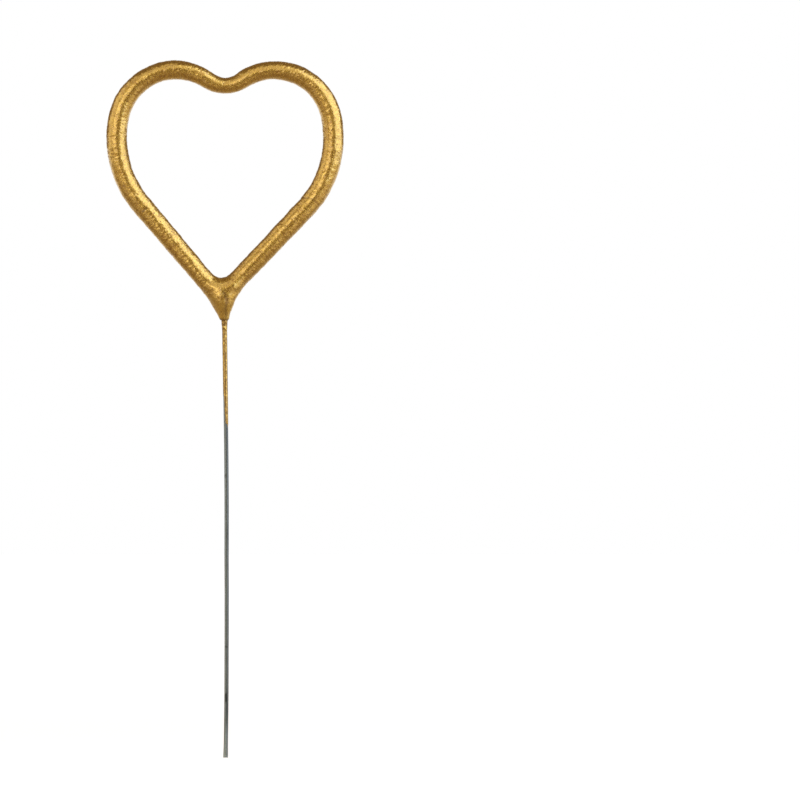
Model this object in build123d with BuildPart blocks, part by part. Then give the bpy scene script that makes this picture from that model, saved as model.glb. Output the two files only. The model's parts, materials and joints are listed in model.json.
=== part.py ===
"""Heart-shaped sparkler: one bent steel wire, dipped twice in composition and painted gold.

Millimetres, +Z up. The origin is the centre of the stem's cut lower end, the stem's straight lower run
stands along Z, and the heart lies in the XZ plane.
"""

import os
from math import acos, atan2, cos, degrees, radians, sin, sqrt, tan

from build123d import *

os.makedirs("parts", exist_ok=True)

# Wire: the stem turns into the right leg, goes round the heart and ends as a tail beside the stem
wire_dia = 1.1
stem_height = 119.6  # cut end up to the corner where the stem turns into the right leg
stem_straight = 60.0  # lower run, which is what gets pushed into a cake or a holder
stem_lean = 0.8  # upper run, to the left of upright
stem_sway_radius = 2000.0  # slow bend between the two runs
stem_bend_radius = 2.5
heart_offset = 0.24  # the heart's axis to the right of the stem's corner
leg_length = 30.35  # right leg, from that corner up to the side bend
leg_angle = 46.5  # right leg above the horizontal
side_radius = 26.6
lobe_radius = 14.9
shoulder_angle = 12.5  # bearing from the lobe's centre at which the lobe bend passes into the side bend
notch_radius = 7.6
tail_gap = 0.15  # clear space between the tail and the stem
tail_drop = 0.7  # the tail's corner below the stem's corner
tail_length = 1.9  # tail's corner down to its cut end
tail_bend_radius = 1.6

# Dipped coat: outside diameters along each half of the heart, and the layers under that outside
coat_at_notch = 4.0
coat_at_lobe = 4.5
coat_at_shoulder = 5.35
coat_at_leg = 5.35
coat_at_crotch = 4.85
crotch_radius = 5.0  # the coat's own centre line in the V, where the composition has filled the corner
gold_film = 0.08
second_dip = 0.6

# Root: the cone of composition that runs from the V down onto the stem
root_length = 6.8  # the stem's corner down to the root's mouth
root_shoulder = 1.3  # the stem's corner down to the root's shoulder
root_width = 7.0  # at that shoulder
root_head_width = 11.0  # in the V, where the root spreads into the legs
root_depth = 4.7
root_shift = 0.65  # the shoulder and the head sit this far to the tail's side of the stem
mouth_wall = 0.38  # all layers together, around the wire at the mouth
first_mouth_rise = 1.6  # the first dip ends this far above the mouth
first_mouth_wall = 0.2

# Gold wash that has run down the stem from the root
wash_length = 27.0
wash_film = 0.08
collar_length = 2.6
collar_film = 0.23

sections_per_run = 7  # round sections that shape the coat along each bend or leg


def bearing_of(vector):
    """Bearing of a vector in the heart's plane, in degrees from +X."""
    return degrees(atan2(vector.Y, vector.X))


def polar(centre, radius, bearing):
    """Point of the heart's plane at a radius and a bearing from a centre."""
    return centre + Vector(radius, 0).rotate(Axis.Z, bearing)


def rounded(corner, first, second, radius):
    """Ends of a bend of this radius in a corner whose two runs leave along the unit vectors given."""
    set_back = radius / tan(radians(first.get_angle(second) / 2))
    return corner + first * set_back, corner + second * set_back


# Heart's plane: first coordinate along X from the heart's axis, second along Z
down = Vector(0, -1)
stem_corner = Vector(-heart_offset, stem_height)
tail_corner = stem_corner + Vector(-(wire_dia + tail_gap), -tail_drop)

# Stem: the upper run leans back from its corner to the sway, below which the lower run is upright
lean = radians(stem_lean)
sway_height = stem_straight + stem_sway_radius * sin(lean)
sway_top = Vector(stem_corner.X + (stem_height - sway_height) * tan(lean), sway_height)
sway_foot = Vector(sway_top.X + stem_sway_radius * (1 - cos(lean)), stem_straight)
stem_foot = Vector(sway_foot.X, 0)
stem_down = (sway_top - stem_corner).normalized()
heart_plane = Plane(origin=(-stem_foot.X, 0, 0), x_dir=(1, 0, 0), z_dir=(0, -1, 0))

# Bends of the heart, laid out on the right half
right_leg_top = polar(stem_corner, leg_length, leg_angle)
side_centre = polar(right_leg_top, side_radius, leg_angle + 90)
lobe_centre = polar(side_centre, side_radius - lobe_radius, shoulder_angle)
shoulder = polar(lobe_centre, lobe_radius, shoulder_angle)
notch_rise = sqrt((lobe_radius + notch_radius) ** 2 - lobe_centre.X**2)
notch_centre = Vector(0, lobe_centre.Y + notch_rise)
notch = notch_centre + down * notch_radius
lobe_start = polar(notch_centre, notch_radius, bearing_of(lobe_centre - notch_centre))

# Left half: the same bends mirrored, and a leg from the tail's corner that touches the side bend
mirrored_tail = Vector(-tail_corner.X, tail_corner.Y)
to_tail = mirrored_tail - side_centre
touch_angle = bearing_of(to_tail) + degrees(acos(side_radius / to_tail.length))
left_leg_top = polar(side_centre, side_radius, touch_angle)

# The V: the legs' centre lines cross at the crotch, where the coat's own line is rounded
right_run = (right_leg_top - stem_corner).normalized()
left_run = (Vector(-left_leg_top.X, left_leg_top.Y) - tail_corner).normalized()
tail_to_stem = stem_corner - tail_corner
along_left = tail_to_stem.cross(right_run).Z / left_run.cross(right_run).Z
crotch = tail_corner + left_run * along_left
right_crotch, left_crotch = rounded(crotch, right_run, left_run, crotch_radius)
middle_run = (right_run + left_run).normalized()
crotch_rise = sqrt(crotch_radius**2 + (right_crotch - crotch).length ** 2) - crotch_radius
crotch_bottom = crotch + middle_run * crotch_rise


def flat(point):
    """Coordinates of a point of the heart's plane, for drawing."""
    return (point.X, point.Y)


def draw_half(side, leg_top, leg_foot):
    """Draw one half of the heart, 1 right or -1 left, from the notch to a point on its leg."""

    def turned(point):
        return (side * point.X, point.Y)

    notch_bend = TangentArc(turned(notch), turned(lobe_start), tangent=heart_plane.x_dir * side)
    lobe_bend = TangentArc(turned(lobe_start), turned(shoulder), tangent=notch_bend % 1)
    side_bend = TangentArc(turned(shoulder), turned(leg_top), tangent=lobe_bend % 1)
    leg = Line(turned(leg_top), flat(leg_foot))
    return [notch_bend, lobe_bend, side_bend, leg]


def draw_stem(top):
    """Draw the stem from its cut end up to a point on its upper run."""
    Line(flat(stem_foot), flat(sway_foot))
    sway = TangentArc(flat(sway_foot), flat(sway_top), tangent=heart_plane.y_dir)
    return Line(sway @ 1, flat(top))


# Line of the wire, from the stem's cut end round to the tail's
stem_bend_start, stem_bend_end = rounded(stem_corner, stem_down, right_run, stem_bend_radius)
tail_bend_start, tail_bend_end = rounded(tail_corner, left_run, down, tail_bend_radius)
tail_end = tail_corner + down * tail_length

with BuildLine(heart_plane) as wire_line:
    upper_run = draw_stem(stem_bend_start)
    TangentArc(flat(stem_bend_start), flat(stem_bend_end), tangent=upper_run % 1)
    draw_half(1, right_leg_top, stem_bend_end)
    draw_half(-1, left_leg_top, tail_bend_start)
    TangentArc(flat(tail_bend_end), flat(tail_bend_start), tangent=heart_plane.y_dir)
    Line(flat(tail_bend_end), flat(tail_end))

# Lines of the coat, one for each half, from the notch to the bottom of the V
coat_halves = []
for side, leg_top, leg_foot in ((1, right_leg_top, right_crotch), (-1, left_leg_top, left_crotch)):
    with BuildLine(heart_plane) as half_line:
        runs = draw_half(side, leg_top, leg_foot)
        runs.append(TangentArc(flat(leg_foot), flat(crotch_bottom), tangent=runs[-1] % 1))
    coat_halves.append(runs)

coat_dias = [coat_at_notch, coat_at_lobe, coat_at_shoulder, coat_at_leg, coat_at_crotch, coat_at_crotch]

# Line of the stem alone, up to its corner, along which the root and the wash are placed
with BuildLine(heart_plane) as stem_line:
    draw_stem(stem_corner)
stem_path = stem_line.wire()


def reach_of(drop):
    """Share of the stem's length at a distance down from its corner."""
    return (stem_path.length - drop) / stem_path.length


def stem_plane(drop):
    """Plane square to the stem at a distance down from its corner; its second axis points to the tail's side."""
    reach = reach_of(drop)
    return Plane(origin=stem_path @ reach, x_dir=(0, 1, 0), z_dir=stem_path % reach)


def coat_sections(runs):
    """List the run, the share of its length and the outside diameter at each section of one half."""
    sections = []
    for run, start_dia, end_dia in zip(runs, coat_dias, coat_dias[1:]):
        for step in range(sections_per_run):
            share = step / sections_per_run
            sections.append((run, share, start_dia + (end_dia - start_dia) * share))
    sections.append((runs[-1], 1, coat_dias[-1]))
    return sections


def dipped_form(depth, mouth_drop, mouth_radius):
    """Solid form of the dipped heart and its root, at a depth below the gold surface."""
    shoulder_plane = stem_plane(root_shoulder)
    crotch_plane = shoulder_plane.offset(crotch_bottom.Y - shoulder_plane.origin.Z)
    with BuildPart() as form:
        for runs in coat_halves:
            for run, share, dia in coat_sections(runs):
                with BuildSketch(Plane(origin=run @ share, x_dir=(0, 1, 0), z_dir=run % share)):
                    Circle(dia / 2 - depth)
            loft()
        with BuildSketch(stem_plane(mouth_drop)):
            Circle(mouth_radius)
        for plane, width in ((shoulder_plane, root_width), (crotch_plane, root_head_width)):
            with BuildSketch(plane):
                with Locations((0, root_shift)):
                    Ellipse(root_depth / 2 - depth, width / 2 - depth)
        loft(ruled=True)
    return form.part


wire_radius = wire_dia / 2
gold_form = dipped_form(0, root_length, wire_radius + mouth_wall)
second_form = dipped_form(gold_film, root_length, wire_radius + mouth_wall - gold_film)
first_form = dipped_form(
    gold_film + second_dip, root_length - first_mouth_rise, wire_radius + first_mouth_wall
)

# Steel wire: stem, heart and tail in one length
wire_path = wire_line.wire()
with BuildPart() as steel_wire:
    with BuildSketch(Plane(origin=wire_path @ 0, z_dir=wire_path % 0)):
        Circle(wire_radius)
    sweep(path=wire_path)

# First dip: the thick inner layer of composition on the wire
with BuildPart() as first_dip_coat:
    add(first_form)
    add(steel_wire.part, mode=Mode.SUBTRACT)

# Second dip: the outer layer of composition, down to the root's mouth
with BuildPart() as second_dip_coat:
    add(second_form)
    add(first_form, mode=Mode.SUBTRACT)
    add(steel_wire.part, mode=Mode.SUBTRACT)

# Gold paint over the dipped heart and its root
with BuildPart() as heart_gold_film:
    add(gold_form)
    add(second_form, mode=Mode.SUBTRACT)

# Gold wash on the stem, thicker in a short collar under the root
wash_path = stem_path.trim(reach_of(root_length + wash_length), reach_of(root_length + collar_length))
with BuildPart() as stem_gold_wash:
    with BuildSketch(stem_plane(root_length + wash_length)):
        Circle(wire_radius + wash_film)
    sweep(path=wash_path)
    with BuildSketch(stem_plane(root_length + collar_length)):
        Circle(wire_radius + wash_film)
    with BuildSketch(stem_plane(root_length)):
        Circle(wire_radius + collar_film)
    loft()
    add(steel_wire.part, mode=Mode.SUBTRACT)

pieces = {
    "steel_wire": steel_wire,
    "first_dip_coat": first_dip_coat,
    "second_dip_coat": second_dip_coat,
    "heart_gold_film": heart_gold_film,
    "stem_gold_wash": stem_gold_wash,
}
for name, piece in pieces.items():
    piece.part.label = name
    export_step(piece.part, f"parts/{name}.step")

wire_volume = wire_path.length * Circle(wire_radius).area
print(f"wire length {wire_path.length:.1f} mm, volume {steel_wire.part.volume:.1f} of {wire_volume:.1f} mm3")
print(f"overall height {gold_form.bounding_box().max.Z:.2f} mm, width {gold_form.bounding_box().size.X:.2f} mm")
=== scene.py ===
"""Heart sparkler: the looks of a gold heart on a steel stem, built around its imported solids.

Metres. The stem stands along +Z from the origin, and the heart lies in the XZ plane and faces -Y.
"""

import json
from math import acos, atan2, ceil, copysign, cos, pi, radians, sin, sqrt, tan
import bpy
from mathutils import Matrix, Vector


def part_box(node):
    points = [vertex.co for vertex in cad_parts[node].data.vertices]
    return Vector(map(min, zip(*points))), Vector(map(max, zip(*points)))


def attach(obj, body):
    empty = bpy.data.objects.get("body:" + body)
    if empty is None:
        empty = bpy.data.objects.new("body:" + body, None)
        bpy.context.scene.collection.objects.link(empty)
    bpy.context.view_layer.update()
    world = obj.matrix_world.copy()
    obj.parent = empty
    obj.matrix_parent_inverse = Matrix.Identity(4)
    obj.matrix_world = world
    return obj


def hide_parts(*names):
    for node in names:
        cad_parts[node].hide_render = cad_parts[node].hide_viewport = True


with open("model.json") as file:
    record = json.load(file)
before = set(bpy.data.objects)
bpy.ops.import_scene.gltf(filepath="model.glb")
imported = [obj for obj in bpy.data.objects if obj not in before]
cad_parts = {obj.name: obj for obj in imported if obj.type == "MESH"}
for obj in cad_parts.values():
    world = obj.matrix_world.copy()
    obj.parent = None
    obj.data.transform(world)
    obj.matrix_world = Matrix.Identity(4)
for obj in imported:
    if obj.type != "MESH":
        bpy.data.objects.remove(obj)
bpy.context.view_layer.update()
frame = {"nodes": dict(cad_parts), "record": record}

from types import SimpleNamespace
from typing import NamedTuple

import bmesh
import bpy
from bpy.props import FloatProperty, FloatVectorProperty, IntProperty, PointerProperty
from bpy.types import Operator, Panel, PropertyGroup
from mathutils import Matrix, Vector, kdtree, noise
from mathutils.bvhtree import BVHTree
from mathutils.geometry import intersect_line_line

bl_info = {
    "name": "Heart Sparkler",
    "version": (1, 0, 0),
    "blender": (4, 5, 0),
    "location": "3D View > Sidebar > Sparkler",
    "description": "Builds a gold heart sparkler on a steel stem, and the stage it is shown on",
    "category": "Object",
}

MM = 0.001
BODY = "root"
stem_pin = frame["record"]["mounts"][0]["dims"]

# Seed of the noise, so that every run gives the same part
NOISE_SEED = 1
noise.seed_set(NOISE_SEED)

# How far the wire and the coats may stand outside the boxes of their solids
WIRE_PLAY = 0.6 * MM
COAT_PLAY = 0.9 * MM


def length(name, millimetres, description):
    """A length that a user can change, given here in millimetres."""
    return FloatProperty(
        name=name, description=description, default=millimetres * MM, unit="LENGTH", precision=5
    )


def angle(name, degrees, description):
    """An angle that a user can change, given here in degrees."""
    return FloatProperty(name=name, description=description, default=radians(degrees), subtype="ANGLE")


def colour(name, value, description):
    """A linear colour that a user can change."""
    return FloatVectorProperty(
        name=name, description=description, default=value, subtype="COLOR", min=0, max=1
    )


def share(name, value, description):
    """A plain number between nothing and all, or a little more."""
    return FloatProperty(name=name, description=description, default=value, subtype="FACTOR", min=0, max=4)


class WireSizes(PropertyGroup):
    """Sizes of the bent steel wire"""

    diameter: length("Diameter", 2 * stem_pin["r_mm"], "Diameter of the drawn wire")
    straight: length("Straight run", stem_pin["length_mm"], "Lower run of the stem, along Z")
    stem_height: length("Stem height", 119.6, "Cut end up to the corner under the right leg")
    lean: angle("Lean", 0.8, "Lean of the stem's upper run to the left")
    sway_radius: length("Sway radius", 2000, "Slow bend between the stem's two runs")
    corner_radius: length("Corner radius", 2.5, "Bend from the stem into the right leg")
    tail_gap: length("Tail gap", 0.15, "Clear space between the tail and the stem")
    tail_drop: length("Tail drop", 0.7, "The tail's corner below the stem's corner")
    tail_length: length("Tail length", 1.9, "The tail's corner down to its cut end")
    tail_radius: length("Tail radius", 1.6, "Bend from the left leg into the tail")
    foot_bow: length("Foot bow", 0.26, "How far the cut end has been pushed to the left")
    foot_bow_length: length("Foot bow length", 26, "Stretch of stem over which that bow grows")
    cut_length: length("Cut length", 4.5, "Stretch above the cut end that the cutter has flattened")
    cut_flare: share("Cut flare", 0.12, "How much wider the cutter has left the end")
    cut_edge: angle("Cut edge", 50, "Least turn at which an edge stays sharp")
    waver: length("Waver", 0.03, "How far the drawn wire strays from its line")
    waver_length: length("Waver length", 9, "Stretch of stem over which it strays")
    # Painted shade on the wire's right side and painted light on its left side, laid by which way each side
    # faces
    painted_side_shade: share("Side burn", 0.4, "Scale on the wire's right side")
    painted_side_light: share("Side rub", 0.7, "Rubbed steel on the wire's left side")


class HeartSizes(PropertyGroup):
    """Sizes of the heart that the wire is bent into"""

    offset: length("Offset", 0.24, "The heart's axis to the right of the stem's corner")
    leg_length: length("Leg length", 30.35, "Right leg, from the stem's corner to the side bend")
    leg_angle: angle("Leg angle", 46.5, "Right leg above the horizontal")
    side_radius: length("Side radius", 26.6, "Wide bend of each side")
    lobe_radius: length("Lobe radius", 14.9, "Bend over the top of each lobe")
    shoulder: angle("Shoulder", 12.5, "Bearing at which the lobe passes into the side")
    notch_radius: length("Notch radius", 7.6, "Bend in the dip between the lobes")


class CoatSizes(PropertyGroup):
    """Outside sizes of the dipped and painted coat"""

    at_notch: length("At the notch", 4.0, "Coat's diameter in the dip between the lobes")
    at_lobe: length("At the lobe", 4.5, "Coat's diameter where each lobe begins")
    at_shoulder: length("At the shoulder", 5.35, "Coat's diameter where each lobe passes into the side")
    at_leg: length("At the leg", 5.35, "Coat's diameter at the top of each leg")
    at_crotch: length("At the crotch", 4.85, "Coat's diameter in the V between the legs")
    crotch_radius: length("Crotch radius", 5.0, "Bend of the coat's own line in the V")
    root_length: length("Root length", 6.8, "The stem's corner down to the root's mouth")
    root_shoulder: length("Root shoulder", 1.3, "The stem's corner down to the root's shoulder")
    root_width: length("Root width", 7.0, "Width of the root at its shoulder")
    root_head_width: length("Root head width", 11.0, "Width of the root in the V between the legs")
    root_depth: length("Root depth", 4.7, "Depth of the root, front to back")
    root_shift: length("Root shift", 0.65, "Shoulder's and head's place to the left of the stem")
    mouth_wall: length("Mouth wall", 0.38, "All layers together around the wire at the mouth")
    root_bulge: length("Root bulge", 0.85, "How far the root swells at its front and back")
    nose_left: length("Nose left", 0.8, "Nose of that swelling, to the left of the stem's corner")
    nose_rise: length("Nose rise", 0.4, "Nose of that swelling, above the root's shoulder")
    nose_width: length("Nose width", 2.5, "Stretch to the right of the nose that swells as much")
    bulge_rise: length("Bulge rise", 5.5, "Stretch of the left leg over which the swelling grows")
    bulge_reach: length("Bulge reach", 8.0, "Stretch over which it runs out to the right")
    bulge_fall: length("Bulge fall", 4.6, "Stretch over which it falls away below the left leg")
    root_belly: length("Root belly", 0.35, "How far its lower part swells there, above the mouth")
    lip: length("Lip", 0.14, "Bead around the root's mouth")
    lip_rise: length("Lip rise", 0.4, "Middle of that bead above the mouth")
    lip_reach: length("Lip reach", 1.2, "Stretch over which the bead runs out")
    crown: length("Crown", 0.2, "Extra coat on top of the left lobe")
    v_fill: length("V fill", 0.36, "Extra coat in the bottom of the V between the legs")
    blend_grid: length("Blend grid", 0.4, "Grid on which the legs and the root are melted together")
    fine_grid: length("Fine grid", 0.208, "Grid of the finished skin")
    cover: length("Cover", 0.025, "Least thickness of the paint over the composition")
    blend_passes: IntProperty(
        name="Blend passes", description="How often the melted root is smoothed", default=30
    )


class GrainSizes(PropertyGroup):
    """Relief of the dried composition under the paint"""

    swell: length("Swell", 0.02, "How far the skin stands outside the plain coat")
    lump_depth: length("Lump depth", 0.10, "Height of the slow unevenness of the dip")
    lump_size: length("Lump size", 3.4, "Width of that unevenness")
    ripple_depth: length("Ripple depth", 0.045, "Height of the small unevenness of the dip")
    ripple_size: length("Ripple size", 1.2, "Width of that unevenness")
    grain_depth: length("Grain depth", 0.075, "Height of the powder grains")
    grain_size: length("Grain size", 0.42, "Spacing of the powder grains along the tube")
    grain_stretch: share("Grain stretch", 1.5, "How much wider the grains are across the tube")
    crinkle_depth: length("Crinkle depth", 0.04, "Height of the curly crinkles on the left leg")
    crinkle_size: length("Crinkle size", 0.75, "Width of those crinkles")
    crinkle_elsewhere: share("Crinkle elsewhere", 0.25, "Crinkles on the rest of the coat")
    pit_depth: length("Pit depth", 0.08, "Depth of the sparse pin holes")
    pit_spacing: length("Pit spacing", 1.7, "Distance between pin holes")
    at_mouth: share("At the mouth", 0.25, "Grain that shows at the root's mouth")
    smooth_end: length("Smooth end", 2.5, "Mouth up to where more grain begins to show")
    full_start: length("Full start", 7, "Mouth up to where all of the grain shows")


class WashSizes(PropertyGroup):
    """Gold paint that has run down the stem"""

    length: length("Length", 27, "Root's mouth down to the lowest edge on the right")
    ragged: length("Ragged edge", 8, "How much higher the paint ends on the left")
    edge_waver: length("Edge waver", 1.2, "How far that edge wavers")
    edge_tongue: length("Edge tongue", 3, "Length of its tongues")
    film: length("Film", 0.10, "Thickness of the paint below the collar")
    edge_film: length("Edge film", 0.06, "Thickness of the paint at its lower edge")
    collar_length: length("Collar length", 2.6, "Thicker paint under the root")
    collar_film: length("Collar film", 0.25, "Thickness of the paint at the root's mouth")
    lump_size: length("Lump size", 0.7, "Width of the paint's lumps")
    lumps: share("Lumps", 0.25, "How uneven the paint is")
    collar_lumps: share("Collar lumps", 0.3, "How much more uneven the collar is")
    feather: length("Feather", 0.8, "Stretch over which the lower edge thins out")
    sunk: length("Sunk", 0.03, "How far the sleeve lies inside the wire below its edge")
    tuck: length("Tuck", 0.4, "How far the collar reaches up into the root's mouth")


class FinishColours(PropertyGroup):
    """Colours of the finishes, linear"""

    gold: colour("Gold", (0.62, 0.40, 0.066), "Flakes of the gold paint")
    # Lighter gold on the high grains: bright flakes, and a painted highlight where the grain stands highest
    gold_bright_and_painted_highlight: colour("Bright gold", (0.74, 0.525, 0.115), "Flakes that lie flat on the high grains")
    # Darker gold between the grains and in pits: painted shade
    gold_painted_shade: colour("Deep gold", (0.43, 0.232, 0.025), "Paint between the grains")
    # Darkest gold: broken paint in the nick and crack, and painted shade in the crease and at the mouth's
    # rim
    gold_break_and_painted_shade: colour("Broken gold", (0.14, 0.06, 0.01), "Paint in nicks, cracks and creases")
    wash: colour("Wash", (0.42, 0.27, 0.079), "Thin paint on the stem")
    wash_thin: colour("Thin wash", (0.24, 0.147, 0.041), "Paint through which the steel shows")
    steel: colour("Steel", (0.152, 0.175, 0.182), "Drawn wire")
    # Bright steel: worn bright at the cut end, and painted light on the wire's left side
    steel_rubbed_and_painted_light: colour("Rubbed steel", (0.34, 0.41, 0.43), "Wire rubbed bright")
    steel_dark: colour("Dark steel", (0.07, 0.084, 0.09), "Oxide in the draw lines")
    # Near-black steel: scale in the dark marks, and painted shade on the wire's right side
    steel_burn_and_painted_shade: colour("Burnt steel", (0.012, 0.012, 0.010), "Scale in the dark marks")
    composition: colour("Composition", (0.16, 0.155, 0.15), "Dried composition")
    composition_dark: colour("Dark composition", (0.05, 0.048, 0.046), "Charcoal and iron in it")


class StageSettings(PropertyGroup):
    """Camera, lamps and floor"""

    frame_width: length("Frame width", 206.45, "Width of the picture at the heart's plane")
    centre_x: length("Picture centre X", 44.75, "Point of the heart's plane in the middle of the picture")
    centre_z: length("Picture centre Z", 92.27, "Height of that point")
    lens: FloatProperty(
        name="Lens", description="Focal length of the camera", default=400, unit="CAMERA"
    )
    lamp_level: share("Lamp level", 1, "Power of all soft boxes together")
    lamp_target: length("Lamp target", 150, "Height of the point that all soft boxes look at")
    room: share("Room light", 0.27, "Light that the studio's walls give from all sides")
    room_tint: colour("Room tint", (1, 0.68, 0.36), "Colour of the studio's walls")
    floor_colour: colour("Floor colour", (0.44, 0.34, 0.23), "Floor as the lamps light it")
    floor_tint: colour("Floor tint", (0.92, 0.95, 1), "Tint of the floor's own white")
    floor_glow: share("Floor glow", 0.86, "White of the floor that the lamps don't give")


class SparklerSettings(PropertyGroup):
    """All sizes, colours and stage settings of the sparkler"""

    wire: PointerProperty(type=WireSizes, name="Wire", description="The bent steel wire")
    heart: PointerProperty(type=HeartSizes, name="Heart", description="The heart it is bent into")
    coat: PointerProperty(type=CoatSizes, name="Coat", description="The dipped coat")
    grain: PointerProperty(type=GrainSizes, name="Grain", description="Relief of the coat")
    wash: PointerProperty(type=WashSizes, name="Wash", description="Paint on the stem")
    colours: PointerProperty(type=FinishColours, name="Colours", description="Colours of the finishes")
    stage: PointerProperty(type=StageSettings, name="Stage", description="Camera, lamps and floor")


def along(bearing):
    """Unit vector of the heart's plane at a bearing from +X towards +Z."""
    return Vector((cos(bearing), 0, sin(bearing)))


def facing(bearing):
    """Turn that points Z along a bearing of the heart's plane."""
    return Matrix.Rotation(pi / 2 - bearing, 4, "Y")


def fade(value, start, end):
    """0 before start, 1 after end, and smooth between them; end may lie below start."""
    part = min(1, max(0, (value - start) / (end - start)))
    return part * part * (3 - 2 * part)


def lay_out(wire, heart, coat):
    """Corners, runs and turns of the heart, worked out in its plane from the same sizes as the solids."""
    sway_height = wire.straight + wire.sway_radius * sin(wire.lean)
    upper_run = (wire.stem_height - sway_height) / cos(wire.lean)
    sway = wire.sway_radius * (1 - cos(wire.lean))
    corner = Vector((-sway - upper_run * sin(wire.lean), 0, wire.stem_height))
    tail_corner = corner - Vector((wire.diameter + wire.tail_gap, 0, wire.tail_drop))
    axis = corner.x + heart.offset

    leg_top = corner + along(heart.leg_angle) * heart.leg_length
    side_centre = leg_top + along(heart.leg_angle + pi / 2) * heart.side_radius
    lobe_centre = side_centre + along(heart.shoulder) * (heart.side_radius - heart.lobe_radius)
    reach = lobe_centre.x - axis
    notch_rise = sqrt((heart.lobe_radius + heart.notch_radius) ** 2 - reach**2)
    notch_turn = atan2(reach, notch_rise)

    to_tail = Vector((2 * axis - tail_corner.x, 0, tail_corner.z)) - side_centre
    touch = atan2(to_tail.z, to_tail.x) + acos(heart.side_radius / to_tail.length)
    left_angle = touch + pi / 2
    left_length = sqrt(to_tail.length**2 - heart.side_radius**2)
    left_leg = along(pi - left_angle)
    left_top = tail_corner + left_leg * left_length

    crotch = intersect_line_line(corner, leg_top, tail_corner, left_top)[0]
    half_v = (pi - left_angle - heart.leg_angle) / 2
    middle = (heart.leg_angle + pi - left_angle) / 2
    crotch_rise = coat.crotch_radius / sin(half_v) - coat.crotch_radius
    set_back = coat.crotch_radius / tan(half_v)
    stem_up = along(pi / 2 + wire.lean)
    return SimpleNamespace(
        corner=corner,
        stem_up=stem_up,
        mouth=corner - stem_up * coat.root_length,
        mouth_height=corner.z - coat.root_length,
        axis=axis,
        upper_run=upper_run,
        stem_turn=pi / 2 + wire.lean - heart.leg_angle,
        tail_turn=pi / 2 - left_angle,
        left_length=left_length,
        lobe_turn=notch_turn + pi / 2 - heart.shoulder,
        notch_turn=notch_turn,
        right_side_turn=heart.shoulder + pi / 2 - heart.leg_angle,
        left_side_turn=heart.shoulder - touch,
        crotch_bottom=crotch + along(middle) * crotch_rise,
        crotch_heading=middle - pi / 2,
        crotch_turn=pi / 2 - half_v,
        right_run=(leg_top - crotch).length - set_back,
        left_run=(left_top - crotch).length - set_back,
    )


class RingPull:
    """A ring that is pulled along runs and bends of the heart's plane and leaves a tube behind it."""

    def __init__(self, mesh, point, heading, radius, sides, step):
        self.mesh = mesh
        self.point = point.copy()
        self.heading = heading
        self.radius = radius
        self.step = step
        self.travelled = 0
        self.line = [SimpleNamespace(point=self.point, heading=heading, travelled=0)]
        place = Matrix.Translation(point) @ facing(heading)
        ring = bmesh.ops.create_circle(mesh, segments=sides, radius=radius, matrix=place)
        self.edges = list(dict.fromkeys(edge for vert in ring["verts"] for edge in vert.link_edges))

    def to(self, point, heading, radius):
        """Extrude the ring to a point, turned to a heading and scaled to a radius."""
        made = bmesh.ops.extrude_edge_only(self.mesh, edges=self.edges)["geom"]
        verts = [item for item in made if isinstance(item, bmesh.types.BMVert)]
        ring = set(verts)
        self.edges = [
            item for item in made if isinstance(item, bmesh.types.BMEdge) and ring.issuperset(item.verts)
        ]
        back = facing(self.heading).inverted() @ Matrix.Translation(-self.point)
        place = Matrix.Translation(point) @ facing(heading) @ Matrix.Scale(radius / self.radius, 4) @ back
        bmesh.ops.transform(self.mesh, matrix=place, verts=verts)
        self.travelled += (point - self.point).length
        self.point = point.copy()
        self.heading = heading
        self.radius = radius
        self.line.append(SimpleNamespace(point=self.point, heading=heading, travelled=self.travelled))

    def run(self, distance, radius=None):
        """Pull straight on, reaching a radius at the end."""
        steps = max(1, ceil(distance / self.step))
        start, start_radius = self.point, self.radius
        end_radius = radius or start_radius
        for step in range(1, steps + 1):
            part = step / steps
            point = start + along(self.heading) * distance * part
            self.to(point, self.heading, start_radius + (end_radius - start_radius) * part)

    def bend(self, bend_radius, turn, radius=None):
        """Pull round a bend, to the left for a positive turn as seen from the front."""
        steps = max(2, ceil(bend_radius * abs(turn) / self.step))
        arm = copysign(bend_radius, turn)
        start_heading, start_radius = self.heading, self.radius
        end_radius = radius or start_radius
        centre = self.point + along(start_heading + pi / 2) * arm
        for step in range(1, steps + 1):
            part = step / steps
            heading = start_heading + turn * part
            point = centre - along(heading + pi / 2) * arm
            self.to(point, heading, start_radius + (end_radius - start_radius) * part)


def pull_wire(mesh, wire, heart, plan, sides, step):
    """Pull the whole wire, from the stem's cut end round the heart to the tail's."""
    stem_set_back = wire.corner_radius * tan(plan.stem_turn / 2)
    tail_set_back = wire.tail_radius * tan(plan.tail_turn / 2)
    pull = RingPull(mesh, Vector(), pi / 2, wire.diameter / 2, sides, step)
    pull.run(wire.straight)
    pull.bend(wire.sway_radius, wire.lean)
    pull.run(plan.upper_run - stem_set_back)
    pull.bend(wire.corner_radius, -plan.stem_turn)
    pull.run(heart.leg_length - stem_set_back)
    pull.bend(heart.side_radius, plan.right_side_turn)
    pull.bend(heart.lobe_radius, plan.lobe_turn)
    pull.bend(heart.notch_radius, -2 * plan.notch_turn)
    pull.bend(heart.lobe_radius, plan.lobe_turn)
    pull.bend(heart.side_radius, plan.left_side_turn)
    pull.run(plan.left_length - tail_set_back)
    pull.bend(wire.tail_radius, -plan.tail_turn)
    pull.run(wire.tail_length - tail_set_back)


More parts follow.
